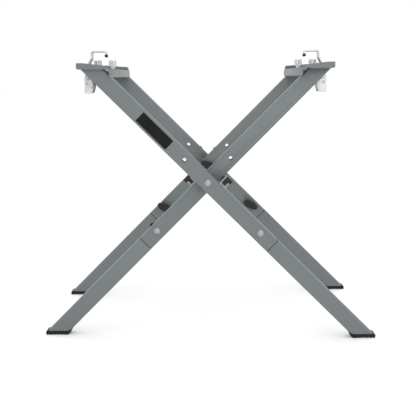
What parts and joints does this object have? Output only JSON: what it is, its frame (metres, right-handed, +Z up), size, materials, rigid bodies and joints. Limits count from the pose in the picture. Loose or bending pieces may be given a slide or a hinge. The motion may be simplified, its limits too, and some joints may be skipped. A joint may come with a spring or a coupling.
{
  "type": "folding sawhorse",
  "caption": "Folding X-frame steel sawhorse with nested tube legs, sheet trays, hook clamps, corner latches and toothed rubber feet.",
  "frame": {"origin": "on the floor, midway between the feet, at rest and open", "axes": "+X right across the stand's spread, +Y from the front pair of legs to the rear, +Z up"},
  "size_m": [0.7376, 0.43, 0.6391],
  "materials": {
    "frame_paint": "satin grey powder coat",
    "tray_paint": "satin grey powder coat",
    "bright_zinc": "bright zinc plate",
    "zinc_plate": "zinc plate",
    "bolt_steel": "zinc plate, dulled",
    "white_nylon": "moulded white nylon",
    "black_rubber": "moulded rubber",
    "black_plastic": "fine moulded texture",
    "grey_plastic": "moulded",
    "label_film": "satin film, blank"
  },
  "bodies": {
    "outer_frame": {"outer_buffer_studs": "grey_plastic", "outer_clamp_bracket": "zinc_plate", "outer_clamp_rivets": "zinc_plate", "outer_feet": "black_rubber", "outer_front_lower_leg": "frame_paint", "outer_front_upper_leg": "frame_paint", "outer_joint_bolts": "bolt_steel", "outer_latch_brackets": "zinc_plate", "outer_latch_pins": "zinc_plate", "outer_latch_springs": "zinc_plate", "outer_leg_sleeves": "zinc_plate", "outer_rear_lower_leg": "frame_paint", "outer_rear_upper_leg": "frame_paint", "outer_saddles": "white_nylon", "outer_tray": "tray_paint", "outer_washers": "bolt_steel", "pivot_bolts": "bolt_steel", "pivot_spacers": "white_nylon", "blank_label": "label_film"},
    "inner_frame": {"inner_buffer_studs": "grey_plastic", "inner_clamp_bracket": "zinc_plate", "inner_clamp_rivets": "zinc_plate", "inner_feet": "black_rubber", "inner_front_lower_leg": "frame_paint", "inner_front_upper_leg": "frame_paint", "inner_joint_bolts": "bolt_steel", "inner_latch_brackets": "zinc_plate", "inner_latch_pins": "zinc_plate", "inner_latch_springs": "zinc_plate", "inner_leg_sleeves": "zinc_plate", "inner_rear_lower_leg": "frame_paint", "inner_rear_upper_leg": "frame_paint", "inner_saddles": "white_nylon", "inner_tray": "tray_paint", "inner_washers": "bolt_steel", "pivot_bushings": "white_nylon"},
    "outer_lever": {"outer_clamp_lever": "bright_zinc", "outer_hook_pin": "zinc_plate"},
    "outer_hook": {"outer_hook_strap": "bright_zinc", "outer_hook_tip": "black_rubber"},
    "outer_front_latch": {"outer_front_latch_lever": "black_plastic"},
    "outer_front_knob": {"outer_front_joint_knob": "black_plastic", "outer_front_joint_insert": "bolt_steel"},
    "outer_rear_latch": {"outer_rear_latch_lever": "black_plastic"},
    "outer_rear_knob": {"outer_rear_joint_knob": "black_plastic", "outer_rear_joint_insert": "bolt_steel"},
    "inner_lever": {"inner_clamp_lever": "bright_zinc", "inner_hook_pin": "zinc_plate"},
    "inner_hook": {"inner_hook_strap": "bright_zinc", "inner_hook_tip": "black_rubber"},
    "inner_front_latch": {"inner_front_latch_lever": "black_plastic"},
    "inner_front_knob": {"inner_front_joint_knob": "black_plastic", "inner_front_joint_insert": "bolt_steel"},
    "inner_rear_latch": {"inner_rear_latch_lever": "black_plastic"},
    "inner_rear_knob": {"inner_rear_joint_knob": "black_plastic", "inner_rear_joint_insert": "bolt_steel"},
    "front_pivot_grip": {"front_pivot_knob": "black_plastic", "front_pivot_insert": "bolt_steel"},
    "rear_pivot_grip": {"rear_pivot_knob": "black_plastic", "rear_pivot_insert": "bolt_steel"}
  },
  "joints": [
    {"name": "fold", "type": "hinge", "parent": "outer_frame", "child": "inner_frame", "pos_m": [0, 0, 0.348], "axis": [0, -1, 0], "range_deg": [0, 72]},
    {"name": "outer_lever_hinge", "type": "hinge", "parent": "outer_frame", "child": "outer_lever", "pos_m": [-0.266, -0.13, 0.5765], "axis": [0, 1, 0], "range_deg": [0, 95]},
    {"name": "outer_hook_hinge", "type": "hinge", "parent": "outer_lever", "child": "outer_hook", "pos_m": [-0.2685, -0.13, 0.5668], "axis": [0, 1, 0], "range_deg": [-105, 0]},
    {"name": "outer_front_latch_hinge", "type": "hinge", "parent": "outer_frame", "child": "outer_front_latch", "pos_m": [0.04398, -0.1965, 0.34503], "axis": [0, 1, 0], "range_deg": [0, 12], "stiffness_Nm_per_rad": 0.05, "springref_deg": -11.46},
    {"name": "outer_front_knob_turn", "type": "hinge", "parent": "outer_frame", "child": "outer_front_knob", "pos_m": [0.11455, -0.176, 0.23628], "axis": [0, 1, 0], "continuous": true},
    {"name": "outer_rear_latch_hinge", "type": "hinge", "parent": "outer_frame", "child": "outer_rear_latch", "pos_m": [0.04398, 0.1965, 0.34503], "axis": [0, 1, 0], "range_deg": [0, 12], "stiffness_Nm_per_rad": 0.05, "springref_deg": -11.46},
    {"name": "outer_rear_knob_turn", "type": "hinge", "parent": "outer_frame", "child": "outer_rear_knob", "pos_m": [0.11455, 0.176, 0.23628], "axis": [0, 1, 0], "continuous": true},
    {"name": "inner_lever_hinge", "type": "hinge", "parent": "inner_frame", "child": "inner_lever", "pos_m": [0.2625, -0.095, 0.5765], "axis": [0, -1, 0], "range_deg": [0, 95]},
    {"name": "inner_hook_hinge", "type": "hinge", "parent": "inner_lever", "child": "inner_hook", "pos_m": [0.265, -0.095, 0.5668], "axis": [0, -1, 0], "range_deg": [-105, 0]},
    {"name": "inner_front_latch_hinge", "type": "hinge", "parent": "inner_frame", "child": "inner_front_latch", "pos_m": [-0.04398, -0.1615, 0.34503], "axis": [0, -1, 0], "range_deg": [0, 12], "stiffness_Nm_per_rad": 0.05, "springref_deg": -11.46},
    {"name": "inner_front_knob_turn", "type": "hinge", "parent": "inner_frame", "child": "inner_front_knob", "pos_m": [-0.11455, -0.141, 0.23628], "axis": [0, 1, 0], "continuous": true},
    {"name": "inner_rear_latch_hinge", "type": "hinge", "parent": "inner_frame", "child": "inner_rear_latch", "pos_m": [-0.04398, 0.1615, 0.34503], "axis": [0, -1, 0], "range_deg": [0, 12], "stiffness_Nm_per_rad": 0.05, "springref_deg": -11.46},
    {"name": "inner_rear_knob_turn", "type": "hinge", "parent": "inner_frame", "child": "inner_rear_knob", "pos_m": [-0.11455, 0.141, 0.23628], "axis": [0, 1, 0], "continuous": true},
    {"name": "front_pivot_grip_turn", "type": "hinge", "parent": "outer_frame", "child": "front_pivot_grip", "pos_m": [0, -0.141, 0.348], "axis": [0, 1, 0], "continuous": true},
    {"name": "rear_pivot_grip_turn", "type": "hinge", "parent": "outer_frame", "child": "rear_pivot_grip", "pos_m": [0, 0.141, 0.348], "axis": [0, 1, 0], "continuous": true}
  ],
  "couplings": [
    {"joint": "outer_hook_hinge", "follows": "outer_lever_hinge", "ratio": -1.1},
    {"joint": "inner_hook_hinge", "follows": "inner_lever_hinge", "ratio": -1.1}
  ]
}
